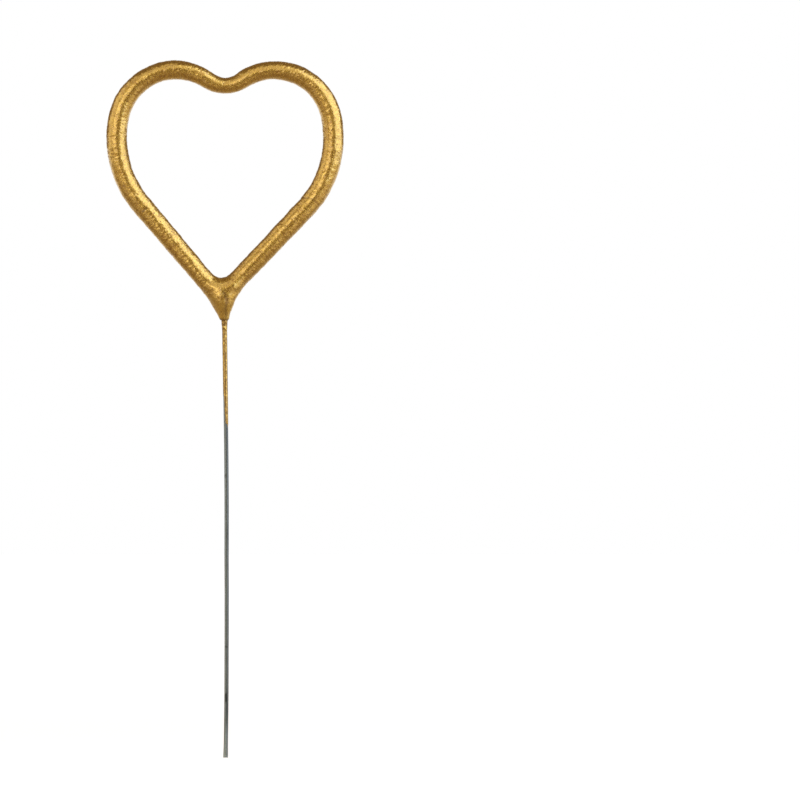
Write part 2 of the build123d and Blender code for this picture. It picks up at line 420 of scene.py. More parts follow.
def pull_coat(mesh, heart, coat, plan, sides, step):
    """Pull the coat once round the heart from the bottom of the V, close it, and return its line."""
    start = coat.at_crotch / 2
    pull = RingPull(mesh, plan.crotch_bottom, plan.crotch_heading, start, sides, step)
    pull.bend(coat.crotch_radius, plan.crotch_turn)
    pull.run(plan.right_run, coat.at_leg / 2)
    pull.bend(heart.side_radius, plan.right_side_turn, coat.at_shoulder / 2)
    pull.bend(heart.lobe_radius, plan.lobe_turn, coat.at_lobe / 2)
    pull.bend(heart.notch_radius, -plan.notch_turn, coat.at_notch / 2)
    pull.bend(heart.notch_radius, -plan.notch_turn, coat.at_lobe / 2)
    pull.bend(heart.lobe_radius, plan.lobe_turn, coat.at_shoulder / 2)
    pull.bend(heart.side_radius, plan.left_side_turn, coat.at_leg / 2)
    pull.run(plan.left_run, start)
    pull.bend(coat.crotch_radius, plan.crotch_turn)
    weld = 0.01 * MM
    bmesh.ops.remove_doubles(mesh, verts=mesh.verts, dist=weld)
    return pull.line


def cap_ends(mesh):
    """Close every open ring and turn all faces outwards."""
    bmesh.ops.holes_fill(mesh, edges=[edge for edge in mesh.edges if edge.is_boundary])
    bmesh.ops.recalc_face_normals(mesh, faces=mesh.faces)


def add_root(mesh, wire, coat, plan, sides):
    """Add the root, which spreads from its mouth on the stem up into the legs."""
    heading = pi / 2 + wire.lean
    shoulder = plan.corner - plan.stem_up * coat.root_shoulder + along(heading + pi / 2) * coat.root_shift
    head = shoulder + plan.stem_up * (plan.crotch_bottom.z - shoulder.z)
    sections = (
        (shoulder, coat.root_width, coat.root_depth / coat.root_width),
        (head, coat.root_head_width, coat.root_width / coat.root_head_width),
    )
    mouth_radius = wire.diameter / 2 + coat.mouth_wall
    root = RingPull(mesh, plan.mouth, heading, mouth_radius, sides, coat.root_length)
    for place, width, squeeze in sections:
        root.to(place, heading, width / 2)
        ring = {vert for edge in root.edges for vert in edge.verts}
        flatter = Matrix.Scale(squeeze, 4, Vector((0, 1, 0)))
        bmesh.ops.transform(mesh, matrix=flatter, verts=list(ring))


def new_piece(name, mesh):
    """Object at the origin that holds a finished bmesh."""
    data = bpy.data.meshes.new(name)
    mesh.to_mesh(data)
    mesh.free()
    piece = bpy.data.objects.new(name, data)
    bpy.context.scene.collection.objects.link(piece)
    return piece


def add_attribute(piece, name, values):
    """Keep a number for each point of a piece, for its finish to read."""
    piece.data.attributes.new(name, "FLOAT", "POINT").data.foreach_set("value", values)


def melt(piece, grid):
    """Give a piece one closed skin on a grid of this size."""
    remesh = piece.modifiers.new("melt", "REMESH")
    remesh.mode = "VOXEL"
    remesh.voxel_size = grid
    remesh.adaptivity = 0
    graph = bpy.context.evaluated_depsgraph_get()
    skin = bpy.data.meshes.new_from_object(piece.evaluated_get(graph))
    piece.modifiers.clear()
    piece.data = skin


def smooth_root(piece, coat, plan):
    """Soften the creases where the legs and the root meet, without shrinking what they lie on."""
    above_mouth = 1.6 * MM
    above_v = 1.4 * MM
    beside = 7 * MM
    shrink_and_swell = (0.5, -0.53)
    mesh = bmesh.new()
    mesh.from_mesh(piece.data)
    low = plan.mouth_height + above_mouth
    high = plan.crotch_bottom.z + above_v
    near = [v for v in mesh.verts if low < v.co.z < high and abs(v.co.x - plan.axis) < beside]
    for _ in range(coat.blend_passes):
        for factor in shrink_and_swell:
            bmesh.ops.smooth_vert(
                mesh, verts=near, factor=factor, use_axis_x=True, use_axis_y=True, use_axis_z=True
            )
    mesh.to_mesh(piece.data)
    mesh.free()


class CoatLine:
    """Finds, for a point of the skin, its place along the coat's line and across it."""

    def __init__(self, line):
        self.line = line
        self.tree = kdtree.KDTree(len(line))
        for index, sample in enumerate(line):
            self.tree.insert(sample.point, index)
        self.tree.balance()

    def place(self, point):
        """Distance along the line, offset to its left in the heart's plane, and offset to the back."""
        sample = self.line[self.tree.find((point.x, 0, point.z))[1]]
        off = point - sample.point
        return Vector((
            sample.travelled + off.dot(along(sample.heading)),
            off.dot(along(sample.heading + pi / 2)),
            off.y,
        ))


class Flaw:
    """A short mark on the front, along a line given in millimetres: a groove, or a ridge of negative depth.

    Its last number says how far the mark darkens the paint, from 0 to 1: broken paint in nicks and cracks,
    painted shade in the crease and at the mouth's rim, and scale in the marks on the wire.
    """

    def __init__(self, start, end, width, depth, darkening):
        self.start = Vector((start[0], 0, start[1])) * MM
        self.end = Vector((end[0], 0, end[1])) * MM
        self.width = width * MM
        self.depth = depth * MM
        self.darkening = darkening

    def strength(self, point):
        """How much of the mark a point of the front feels, from 0 to 1."""
        run = self.end - self.start
        flat = Vector((point.x, 0, point.z))
        part = min(1, max(0, (flat - self.start).dot(run) / run.length_squared))
        distance = (flat - self.start - run * part).length
        return fade(distance, self.width, 0) if point.y < 0 else 0


# Nick in the left leg and crack across the right side, with broken paint; crease down the root, a shallow
# groove darkened with painted shade; and painted shade along the rim of its mouth
FLAWS = (
    Flaw((-21.6, 140.8), (-20.6, 141.7), width=0.42, depth=0.12, darkening=0.8),
    Flaw((19.6, 144.5), (22.0, 144.2), width=0.28, depth=0.08, darkening=0.6),
    Flaw((21.9, 144.2), (23.6, 142.6), width=0.3, depth=0.06, darkening=0.35),
    # Crease: a shallow groove, darkened with painted shade
    Flaw((-0.6, 119.9), (-0.15, 118.1), width=0.75, depth=0.05, darkening=0.58),
    Flaw((-0.15, 118.1), (-0.35, 115.5), width=0.6, depth=0.05, darkening=0.55),
    Flaw((-0.35, 115.5), (-0.05, 113.4), width=0.55, depth=0.04, darkening=0.55),
    # Painted shade along the mouth's rim, with no groove under it
    Flaw((-1.5, 113.0), (0.5, 112.9), width=0.6, depth=0, darkening=0.75),
)
COLLAR_CHIP = Flaw((-0.7, 111.1), (-0.05, 110.4), width=0.34, depth=-0.16, darkening=1)
WIRE_MARKS = (
    Flaw((-0.16, 16.4), (-0.12, 14.5), width=0.34, depth=0, darkening=1),
    Flaw((-0.1, 28.6), (0.2, 28.7), width=0.5, depth=0, darkening=0.6),
    Flaw((-0.4, 72.9), (-0.3, 72.5), width=0.45, depth=0, darkening=0.5),
)


def flaws_at(point):
    """Depth of the coat's flaws at a point of the skin, and how far they darken the paint there: broken
    paint, and painted shade in the crease and at the mouth's rim.
    """
    strengths = [flaw.strength(point) for flaw in FLAWS]
    depth = sum(flaw.depth * strength for flaw, strength in zip(FLAWS, strengths))
    darkening = max(flaw.darkening * strength for flaw, strength in zip(FLAWS, strengths))
    return depth, darkening


def root_swelling(point, coat, plan):
    """Share of the root's bulge, which grows down the left leg to a nose and runs out right and below."""
    ridge_start = -1 * MM
    ridge_end = 1.5 * MM
    nose_round = 0.2 * MM
    aside = point.x - plan.corner.x + coat.nose_left
    above = point.z - plan.corner.z + coat.root_shoulder - coat.nose_rise
    on_left = min(0, aside)
    to_mouth = coat.root_length - coat.root_shoulder + coat.nose_rise
    fall = coat.bulge_fall + (to_mouth - coat.bulge_fall) * fade(aside, ridge_start, ridge_end)
    down_the_leg = fade((on_left - above) / sqrt(2), -coat.bulge_rise, 0)
    to_the_right = fade(aside, coat.bulge_reach, coat.nose_width)
    return down_the_leg * to_the_right * fade(above + on_left, -fall, nose_round)


def belly_swelling(point, coat, plan):
    """Share of the root's belly, which is highest halfway between the mouth and the shoulder."""
    mouth_share = 0.12
    taper = 0.53
    rise = (point.z - plan.mouth_height) / (coat.root_length - coat.root_shoulder)
    half_width = (mouth_share + taper * max(0, rise)) * coat.root_width
    aside = (point.x - plan.corner.x + coat.root_shift) / half_width
    return max(0, 1 - aside**2) * max(0, 4 * rise * (1 - rise))


def lobe_crown(point):
    """Share of the extra coat on top of the left lobe."""
    foot, top = 170 * MM, 174 * MM
    middle, reach, flat = -13 * MM, 9 * MM, 2 * MM
    return fade(point.z, foot, top) * fade(abs(point.x - middle), reach, flat)


def uneven_coat(point, normal, coat, plan):
    """Extra thickness of the coat where the composition has gathered: root, mouth, left lobe and V."""
    v_reach = 3.2 * MM
    v_full = 0.8 * MM
    v_bottom = plan.crotch_bottom + Vector((0, 0, coat.at_crotch / 2))
    bulge = coat.root_bulge * root_swelling(point, coat, plan)
    belly = coat.root_belly * belly_swelling(point, coat, plan)
    lip = coat.lip * fade(abs(point.z - plan.mouth_height - coat.lip_rise), coat.lip_reach, 0)
    crown = coat.crown * lobe_crown(point)
    v_fill = coat.v_fill * fade((point - v_bottom).length, v_reach, v_full)
    return (bulge + belly) * abs(normal.y) + lip + (crown + v_fill) * max(0, normal.z)


def domes(place):
    """Powder grains as domes: 1 in the middle of a cell, and below 0 at its rim."""
    steepness = 1.8
    return 1 - steepness * noise.voronoi(place)[0][0]


def crinkles(place):
    """Curly crinkles: ridges along the lines where a twisted noise passes through 0."""
    curl_scale = 0.7
    curl_reach = 0.9
    sharpness = 3.2
    curl = noise.noise_vector(place * curl_scale) * curl_reach
    return 1 - sharpness * abs(noise.noise(place + curl))


def grain_relief(point, place, grain, crinkled):
    """Height of the dried composition at a point of the skin, and how high its grain stands there, which
    the paint shows as painted shade in hollows and pits and a painted highlight on high grains.
    """
    ripple_shift = Vector((7, 3, 1))
    fine_shift = Vector((3, 5, 8))
    finer = 1.9
    coarse_share, fine_share = 0.65, 0.35
    hole_rim, hole_floor = 0.2, 0.08
    # Weights of the painted shade and highlight that grains, crinkles and pin holes give the paint's colour
    grain_tone, crinkle_tone, hole_tone = 0.6, 0.4, 0.8
    across = 1 / (grain.grain_size * grain.grain_stretch)
    stretched = Vector((place.x / grain.grain_size, place.y * across, place.z * across))
    lump = noise.noise(point / grain.lump_size)
    ripple = noise.noise(stretched * (grain.grain_size / grain.ripple_size) + ripple_shift)
    grains = coarse_share * domes(stretched) + fine_share * domes(stretched * finer + fine_shift)
    crinkle = crinkled * crinkles(stretched * (grain.grain_size / grain.crinkle_size))
    hole = fade(noise.voronoi(point / grain.pit_spacing)[0][0], hole_rim, hole_floor)
    height = (
        grain.swell
        + grain.lump_depth * lump
        + grain.ripple_depth * ripple
        + grain.grain_depth * grains
        + grain.crinkle_depth * crinkle
        - grain.pit_depth * hole
    )
    return height, grain_tone * grains + crinkle_tone * crinkle - hole_tone * hole


def on_left_leg(point, plan):
    """1 on the left leg, and 0 away from it, with soft ends."""
    above_v = point.z - plan.crotch_bottom.z
    from_axis = fade(plan.axis - point.x, 1 * MM, 4 * MM)
    from_foot = fade(above_v, 1 * MM, 4 * MM)
    to_head = fade(above_v, 26 * MM, 20 * MM)
    return from_axis * from_foot * to_head


def roughen(piece, line, grain, coat, plan):
    """Raise the grain on the skin, and keep its relief, its broken paint and painted shade, and its place
    for the finish.
    """
    finder = CoatLine(line)
    data = piece.data
    reliefs = []
    breaks_and_painted_shade = []
    shares = []
    places = []
    moved = []
    for vert in data.vertices:
        point = vert.co.copy()
        place = finder.place(point)
        crinkled = grain.crinkle_elsewhere + (1 - grain.crinkle_elsewhere) * on_left_leg(point, plan)
        height, relief = grain_relief(point, place, grain, crinkled)
        above_mouth = fade(point.z - plan.mouth_height, grain.smooth_end, grain.full_start)
        grain_share = grain.at_mouth + (1 - grain.at_mouth) * above_mouth
        depth, darkening = flaws_at(point)
        height = height * grain_share + uneven_coat(point, vert.normal, coat, plan) - depth
        moved.append(point + vert.normal * height)
        reliefs.append(relief)
        breaks_and_painted_shade.append(darkening)
        shares.append(grain_share)
        places.extend(place)
    for vert, point in zip(data.vertices, moved):
        vert.co = point
    add_attribute(piece, "relief", reliefs)
    add_attribute(piece, "broken_paint_and_painted_shade", breaks_and_painted_shade)
    add_attribute(piece, "grain_share", shares)
    data.attributes.new("tube_place", "FLOAT_VECTOR", "POINT").data.foreach_set("vector", places)
    data.shade_smooth()


def keep_covered(piece, node, cover):
    """Lift each point of a skin that would lie under a solid, so that the paint covers it."""
    tree = BVHTree.FromObject(frame["nodes"][node], bpy.context.evaluated_depsgraph_get())
    for vert in piece.data.vertices:
        nearest, normal, _, _ = tree.find_nearest(vert.co)
        if (vert.co - nearest).dot(normal) < cover:
            vert.co = nearest + normal * cover


class NodeSheet:
    """Short hand for laying out the nodes of a material or a world around its shader."""

    def __init__(self, owner, shader="Principled BSDF"):
        owner.use_nodes = True
        self.owner = owner
        self.tree = owner.node_tree
        self.shader = self.tree.nodes[shader]

    def node(self, kind, **settings):
        """Add a node and set its plain settings."""
        made = self.tree.nodes.new(kind)
        for name, value in settings.items():
            setattr(made, name, value)
        return made

    def link(self, source, target):
        """Join an output socket to an input socket."""
        self.tree.links.new(source, target)

    def feed(self, name, source):
        """Join an output socket to one of the shader's own."""
        self.link(source, self.shader.inputs[name])

    def set(self, values):
        """Set constant values on the shader's own sockets."""
        for name, value in values.items():
            self.shader.inputs[name].default_value = value

    def stretched(self, place, scale):
        """A place, stretched by a Mapping node."""
        mapping = self.node("ShaderNodeMapping")
        mapping.inputs["Scale"].default_value = scale
        self.link(place, mapping.inputs["Vector"])
        return mapping.outputs["Vector"]

    def coordinates(self, scale=(1, 1, 1)):
        """Object coordinates, stretched along their axes."""
        return self.stretched(self.node("ShaderNodeTexCoord").outputs["Object"], scale)

    def tube_coordinates(self, scale):
        """Place along and across the coat's line, stretched along these."""
        place = self.node("ShaderNodeAttribute", attribute_name="tube_place")
        return self.stretched(place.outputs["Vector"], scale)

    def attribute(self, name):
        """Value of a point attribute of the piece."""
        return self.node("ShaderNodeAttribute", attribute_name=name).outputs["Fac"]

    def noise(self, vector, size, detail=3):
        """Noise whose features are about this size."""
        made = self.node("ShaderNodeTexNoise")
        self.link(vector, made.inputs["Vector"])
        for name, value in (("Scale", 1 / size), ("Detail", detail), ("Roughness", 0.6)):
            made.inputs[name].default_value = value
        return made.outputs["Fac"]

    def cells(self, vector, size):
        """Cells of about this size: their distance field and their own grey value."""
        made = self.node("ShaderNodeTexVoronoi")
        self.link(vector, made.inputs["Vector"])
        made.inputs["Scale"].default_value = 1 / size
        grey = self.node("ShaderNodeSeparateColor")
        self.link(made.outputs["Color"], grey.inputs["Color"])
        return made.outputs["Distance"], grey.outputs["Red"]

    def math(self, operation, first, second):
        """One sum on two sockets or numbers."""
        made = self.node("ShaderNodeMath", operation=operation)
        for socket, value in zip(made.inputs, (first, second)):
            if isinstance(value, bpy.types.NodeSocket):
                self.link(value, socket)
            else:
                socket.default_value = value
        return made.outputs["Value"]

    def weigh(self, *parts):
        """Sum of sockets, each given with its weight."""
        total, *others = [self.math("MULTIPLY", socket, weight) for socket, weight in parts]
        for other in others:
            total = self.math("ADD", total, other)
        return total

    def spread(self, value, source, target, interpolation="LINEAR"):
        """Carry a value from a source range over to a target range."""
        made = self.node("ShaderNodeMapRange", interpolation_type=interpolation)
        self.link(value, made.inputs["Value"])
        for name, number in zip(("From Min", "From Max", "To Min", "To Max"), (*source, *target)):
            made.inputs[name].default_value = number
        return made.outputs["Result"]

    def ramp(self, value, *stops):
        """Colours along a value, given as (position, colour)."""
        made = self.node("ShaderNodeValToRGB")
        elements = made.color_ramp.elements
        for _ in stops[2:]:
            elements.new(0.5)
        for element, (position, tint) in zip(elements, stops):
            element.position = position
            element.color = (*tint, 1)
        self.link(value, made.inputs["Fac"])
        return made.outputs["Color"]

    def cover(self, factor, base, tint):
        """Lay a plain tint over a colour, as far as a factor says."""
        made = self.node("ShaderNodeMix", data_type="RGBA")
        self.link(factor, made.inputs["Factor"])
        under, over = [socket for socket in made.inputs if socket.type == "RGBA"]
        self.link(base, under)
        over.default_value = (*tint, 1)
        return next(socket for socket in made.outputs if socket.type == "RGBA")

    def bump(self, height, depth, strength):
        """Fine relief of the shader's own normal."""
        made = self.node("ShaderNodeBump")
        made.inputs["Distance"].default_value = depth
        made.inputs["Strength"].default_value = strength
        self.link(height, made.inputs["Height"])
        self.feed("Normal", made.outputs["Normal"])

    def seen_white(self, place, back):
        """1 to the eye and through glass, and where gloss mirrors what lies past the back's range of Y."""
        ray = self.node("ShaderNodeLightPath").outputs
        split = self.node("ShaderNodeSeparateXYZ")
        self.link(place, split.inputs["Vector"])
        behind = self.spread(split.outputs["Y"], back, (0, 1), "SMOOTHSTEP")
        seen = self.math("MULTIPLY", ray["Is Glossy Ray"], behind)
        seen = self.math("MAXIMUM", seen, ray["Is Transmission Ray"])
        return self.math("MAXIMUM", seen, ray["Is Camera Ray"])


def gold_paint(colours, least_grain):
    """Metallic paint over powder: flakes, painted shade between the grains and in pits, a painted highlight
    on the high grains, dark breaks, and painted shade in the crease and at the mouth's rim.

    The less grain shows, from all of it down to the least, the more satin the paint is, and the lighter:
    partly smoother flakes, partly painted light on the root's lower faces.
    """
    sheet = NodeSheet(bpy.data.materials.new("gold_paint"))
    across = sheet.tube_coordinates((1, 0.4, 0.4))
    grain = sheet.attribute("grain_share")
    _, flake = sheet.cells(across, size=0.27 * MM)
    lift = sheet.math("MULTIPLY", flake, grain)
    # Lighter where less grain shows, towards the root's mouth: partly smoother flakes, partly painted light
    # on the root's lower faces
    flat = sheet.math("ADD", lift, sheet.math("SUBTRACT", 1, grain))
    mottle = sheet.math("SUBTRACT", sheet.noise(sheet.coordinates(), size=1.6 * MM, detail=4), 0.5)
    relief = sheet.spread(sheet.attribute("relief"), (-0.9, 0.9), (0, 1))
    height = sheet.weigh((relief, 0.62), (flat, 0.3), (mottle, 0.5))
    # Painted shade at the low end, between the grains and in pits, and a painted highlight at the high end,
    # on the high grains
    paint = sheet.ramp(height, (0.2, colours.gold_painted_shade), (0.5, colours.gold), (0.85, colours.gold_bright_and_painted_highlight))
    # Darkest gold over the broken paint of the nick and crack, and painted shade in the crease and at the
    # mouth's rim
    sheet.feed("Base Color", sheet.cover(sheet.attribute("broken_paint_and_painted_shade"), paint, colours.gold_break_and_painted_shade))
    roughness = sheet.spread(height, (0.2, 0.9), (0.32, 0.2))
    satin = sheet.spread(grain, (least_grain, 1), (0.3, 0))
    sheet.feed("Roughness", sheet.math("ADD", roughness, satin))
    powder = sheet.math("MULTIPLY", sheet.noise(across, size=0.2 * MM), grain)
    sheet.bump(sheet.math("ADD", lift, powder), depth=0.034 * MM, strength=0.85)
    sheet.set({"Metallic": 1, "Coat Weight": 1, "Coat Roughness": 0.2, "Coat IOR": 1.68})
    return sheet.owner


def wash_paint(colours):
    """Thin gold paint on the stem, through which the steel shows in patches."""
    sheet = NodeSheet(bpy.data.materials.new("wash_paint"))
    _, flake = sheet.cells(sheet.coordinates(), size=0.24 * MM)
    streak = sheet.noise(sheet.coordinates((1, 1, 0.35)), size=0.5 * MM, detail=4)
    height = sheet.weigh((streak, 0.7), (flake, 0.3))
    paint = sheet.ramp(height, (0.36, colours.wash_thin), (0.54, colours.wash), (0.8, colours.gold_bright_and_painted_highlight))
    sheet.feed("Base Color", sheet.cover(sheet.attribute("chip"), paint, colours.gold_bright_and_painted_highlight))
    sheet.feed("Roughness", sheet.spread(height, (0.3, 0.8), (0.36, 0.24)))
    sheet.bump(height, depth=0.02 * MM, strength=0.5)
    sheet.set({"Metallic": 1, "Coat Weight": 0.4, "Coat Roughness": 0.25})
    return sheet.owner


def drawn_steel(colours):
    """Drawn wire: fine lines along the stem, specks of oxide, a slow change of tone, dark marks, a foot
    worn bright, painted light on its left side and painted shade on its right side.
    """
    sheet = NodeSheet(bpy.data.materials.new("drawn_steel"))
    lines = sheet.noise(sheet.coordinates((1, 1, 0.02)), size=0.14 * MM)
    slow = sheet.noise(sheet.coordinates((1, 1, 0.25)), size=2.2 * MM)
    tone = sheet.weigh((lines, 0.55), (slow, 0.45))
    metal = sheet.ramp(tone, (0.3, colours.steel_dark), (0.56, colours.steel))
    # Bright steel laid over it: worn bright at the foot, and painted light on the left side
    metal = sheet.cover(sheet.attribute("rubbed_and_painted_light"), metal, colours.steel_rubbed_and_painted_light)
    # Near-black steel laid over it: scale in the marks, and painted shade on the right side
    metal = sheet.cover(sheet.attribute("burn_and_painted_shade"), metal, colours.steel_burn_and_painted_shade)
    sheet.feed("Base Color", metal)
    sheet.feed("Roughness", sheet.spread(tone, (0.3, 0.75), (0.32, 0.18)))
    sheet.bump(lines, depth=0.006 * MM, strength=0.5)
    sheet.set({"Metallic": 1, "Specular Tint": (0.35, 0.35, 0.35, 1)})
    return sheet.owner


def dried_composition(colours):
    """Dried composition: dark powder with grains of charcoal and iron."""
    sheet = NodeSheet(bpy.data.materials.new("dried_composition"))
    place = sheet.coordinates()
    distance, grey = sheet.cells(place, size=0.35 * MM)
    body = sheet.noise(place, size=0.9 * MM, detail=5)
    tone = sheet.weigh((grey, 0.6), (body, 0.4))
    powder = sheet.ramp(tone, (0.25, colours.composition_dark), (0.75, colours.composition))
    sheet.feed("Base Color", powder)
    sheet.feed("Roughness", sheet.spread(tone, (0, 1), (0.95, 0.7)))
    sheet.bump(distance, depth=0.05 * MM, strength=0.6)
    return sheet.owner


def finish_piece(piece, material, node):
    """Give a piece its finish and let it stand for its solid."""
    piece.data.materials.clear()
    piece.data.materials.append(material)
    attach(piece, BODY)
    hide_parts(node)


def lies_on_node(piece, node, play):
    """Raise an error if a piece leaves the box of the solid that it stands for."""
    low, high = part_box(node)
    for corner in piece.bound_box:
        for value, least, most in zip(corner, low, high):
            if not least - play <= value <= most + play:
                raise RuntimeError(f"{piece.name} leaves the box of {node}")


class SPARKLER_OT_drawn_wire(Operator):
    """Pull the steel wire from the stem's cut end round the heart to the tail"""

    bl_idname = "sparkler.drawn_wire"
    bl_label = "Drawn Wire"

    sides: IntProperty(name="Sides", description="Sides of the wire's tube", default=28, min=8)
    step: length("Step", 0.4, "Distance between rings of the tube")

    def execute(self, context):
        settings = context.scene.sparkler
        wire = settings.wire
        plan = lay_out(wire, settings.heart, settings.coat)
        mesh = bmesh.new()
        pull_wire(mesh, wire, settings.heart, plan, self.sides, self.step)
        cap_ends(mesh)
        for vert in mesh.verts:
            self.wear(vert, wire)
        piece = new_piece("drawn_wire", mesh)
        self.tone(piece, wire)
        piece.data.shade_smooth()
        piece.data.set_sharp_from_angle(angle=wire.cut_edge)
        finish_piece(piece, drawn_steel(settings.colours), "steel_wire")
        lies_on_node(piece, "steel_wire", WIRE_PLAY)
        return {"FINISHED"}

    def wear(self, vert, wire):
        """Bow and flatten the cut end, and let the drawn wire waver a little."""
        height = vert.co.z
        if height < wire.foot_bow_length:
            cut = fade(height, wire.cut_length, 0)
            vert.co.x *= 1 + wire.cut_flare * cut
            vert.co.y *= 1 - wire.cut_flare * cut
            vert.co.x -= wire.foot_bow * (1 - height / wire.foot_bow_length) ** 2
        waver = noise.noise_vector(Vector((0, 0, height / wire.waver_length))) * wire.waver
        vert.co += Vector((waver.x, waver.y, 0))

    def tone(self, piece, wire):
        """Keep where scale darkens the marks and painted shade darkens the wire's right side, and where it
        is worn bright at its foot and painted light lightens its left side.
        """
        burns_and_painted_shade = []
        rubs_and_painted_light = []
        for vert in piece.data.vertices:
            mark = max(mark.darkening * mark.strength(vert.co) for mark in WIRE_MARKS)
            foot = fade(vert.co.z, wire.foot_bow_length / 2, 0)
            # Painted shade on the side that faces +X, and scale in the marks
            burns_and_painted_shade.append(max(mark, wire.painted_side_shade * vert.normal.x))
            # Painted light on the side that faces -X, and wear at the foot
            rubs_and_painted_light.append(max(foot, -wire.painted_side_light * vert.normal.x))
        add_attribute(piece, "burn_and_painted_shade", burns_and_painted_shade)
        add_attribute(piece, "rubbed_and_painted_light", rubs_and_painted_light)


class SPARKLER_OT_gilded_heart(Operator):
    """Build the painted skin of the dipped heart and of its root"""

    bl_idname = "sparkler.gilded_heart"
    bl_label = "Gilded Heart"

    sides: IntProperty(name="Sides", description="Sides of the coat's tube", default=48, min=12)
    step: length("Step", 0.6, "Distance between rings of the tube")

    def execute(self, context):
        settings = context.scene.sparkler
        coat, grain = settings.coat, settings.grain
        plan = lay_out(settings.wire, settings.heart, coat)
        mesh = bmesh.new()
        line = pull_coat(mesh, settings.heart, coat, plan, self.sides, self.step)
        add_root(mesh, settings.wire, coat, plan, self.sides)
        cap_ends(mesh)
        piece = new_piece("gilded_heart", mesh)
        melt(piece, coat.blend_grid)
        smooth_root(piece, coat, plan)
        melt(piece, coat.fine_grid)
        roughen(piece, line, grain, coat, plan)
        keep_covered(piece, "second_dip_coat", coat.cover)
        paint = gold_paint(settings.colours, grain.at_mouth)
        finish_piece(piece, paint, "heart_gold_film")
        lies_on_node(piece, "heart_gold_film", COAT_PLAY)
        return {"FINISHED"}


class SPARKLER_OT_gold_wash(Operator):
    """Build the gold paint that has run down the stem"""

    bl_idname = "sparkler.gold_wash"
    bl_label = "Gold Wash"

    sides: IntProperty(name="Sides", description="Sides of the paint's sleeve", default=40, min=12)
    step: length("Step", 0.18, "Distance between rings of the sleeve")

    def execute(self, context):
        settings = context.scene.sparkler
        wire, wash = settings.wire, settings.wash
        plan = lay_out(wire, settings.heart, settings.coat)
        radius = wire.diameter / 2
        down = pi * 1.5 + wire.lean
        mesh = bmesh.new()
        start = plan.mouth + plan.stem_up * wash.tuck
        pull = RingPull(mesh, start, down, radius + wash.collar_film, self.sides, self.step)
        pull.run(wash.tuck)
        pull.run(wash.collar_length, radius + wash.film)
        pull.run(wash.length - wash.collar_length + wash.feather, radius + wash.edge_film)
        cap_ends(mesh)
        for vert in mesh.verts:
            self.drip(vert, plan.mouth, along(down), radius, wash)
        piece = new_piece("gold_wash", mesh)
        add_attribute(piece, "chip", [COLLAR_CHIP.strength(vert.co) for vert in piece.data.vertices])
        piece.data.shade_smooth()
        finish_piece(piece, wash_paint(settings.colours), "stem_gold_wash")
        lies_on_node(piece, "stem_gold_wash", COAT_PLAY)
        return {"FINISHED"}

    def drip(self, vert, mouth, down, radius, wash):
        """Give the paint its uneven thickness and ragged edge, below which it sinks into the wire."""
        low_side, high_side = 0.1, -0.8
        tongues_around = 2
        reach = (vert.co - mouth).dot(down)
        centre = mouth + down * reach
        out = (vert.co - centre).normalized()
        thickness = (vert.co - centre).length - radius
        edge = wash.length - wash.ragged * fade(out.x, low_side, high_side)
        tongue = Vector((out.x * tongues_around, out.y * tongues_around, reach / wash.edge_tongue))
        edge += wash.edge_waver * noise.noise(tongue)
        lumps = wash.lumps + wash.collar_lumps * fade(reach, wash.collar_length, 0)
        uneven = 1 + lumps * noise.noise(vert.co / wash.lump_size)
        film = thickness * uneven - COLLAR_CHIP.depth * COLLAR_CHIP.strength(vert.co)
        painted = fade(reach, edge + wash.feather / 2, edge - wash.feather / 2)
        vert.co = centre + out * (radius - wash.sunk + (film + wash.sunk) * painted)


class SPARKLER_OT_composition(Operator):
    """Give the two dips of composition under the paint their finish"""

    bl_idname = "sparkler.composition"
    bl_label = "Composition"

    def execute(self, context):
        material = dried_composition(context.scene.sparkler.colours)
        for node in ("first_dip_coat", "second_dip_coat"):
            data = frame["nodes"][node].data
            data.materials.clear()
            data.materials.append(material)
        return {"FINISHED"}


class SoftBox(NamedTuple):
    """A lamp that looks at the heart.

    Its bearing to the right of the camera and its rise are in degrees, its distance and sizes in metres,
    and its power in watts.
    """

    name: str
    bearing: float
    rise: float
    distance: float
    width: float
    height: float
    power: float
    tint: tuple

    def direction(self):
        """Unit vector from the heart to the lamp."""
        bearing, rise = radians(self.bearing), radians(self.rise)
        return Vector((sin(bearing) * cos(rise), -cos(bearing) * cos(rise), sin(rise)))


DAYLIGHT = (0.92, 1, 1.12)
WARM_WALL = (1, 0.94, 0.82)
SOFT_BOXES = (
    SoftBox("key", 64.5, 16, 0.8, 1.2, 1.36, 8.9, DAYLIGHT),
    SoftBox("fill", -28, 6, 3.6, 2.75, 1.65, 24.2, WARM_WALL),
    SoftBox("left_wall", -80, 18, 0.9, 0.80, 1.10, 2.4, WARM_WALL),
    SoftBox("overhead", -4, 42, 0.9, 0.96, 0.74, 1.4, WARM_WALL),
    SoftBox("right_card", 56, -28, 0.26, 0.30, 0.09, 0.045, WARM_WALL),
    SoftBox("left_card", -40, -21, 0.30, 0.30, 0.08, 0.034, WARM_WALL),
)

# Where gloss begins to mirror a white back: Y of a direction in the room, and Y on the floor in metres
ROOM_BACK = (0.75, 0.97)
FLOOR_BACK = (-0.1, 0.5)
# The floor's half side, and the distances from the stem between which its own white becomes full
FLOOR_REACH = 3
FLOOR_LIT = (0.2, 1)
WHITE = (1, 1, 1)


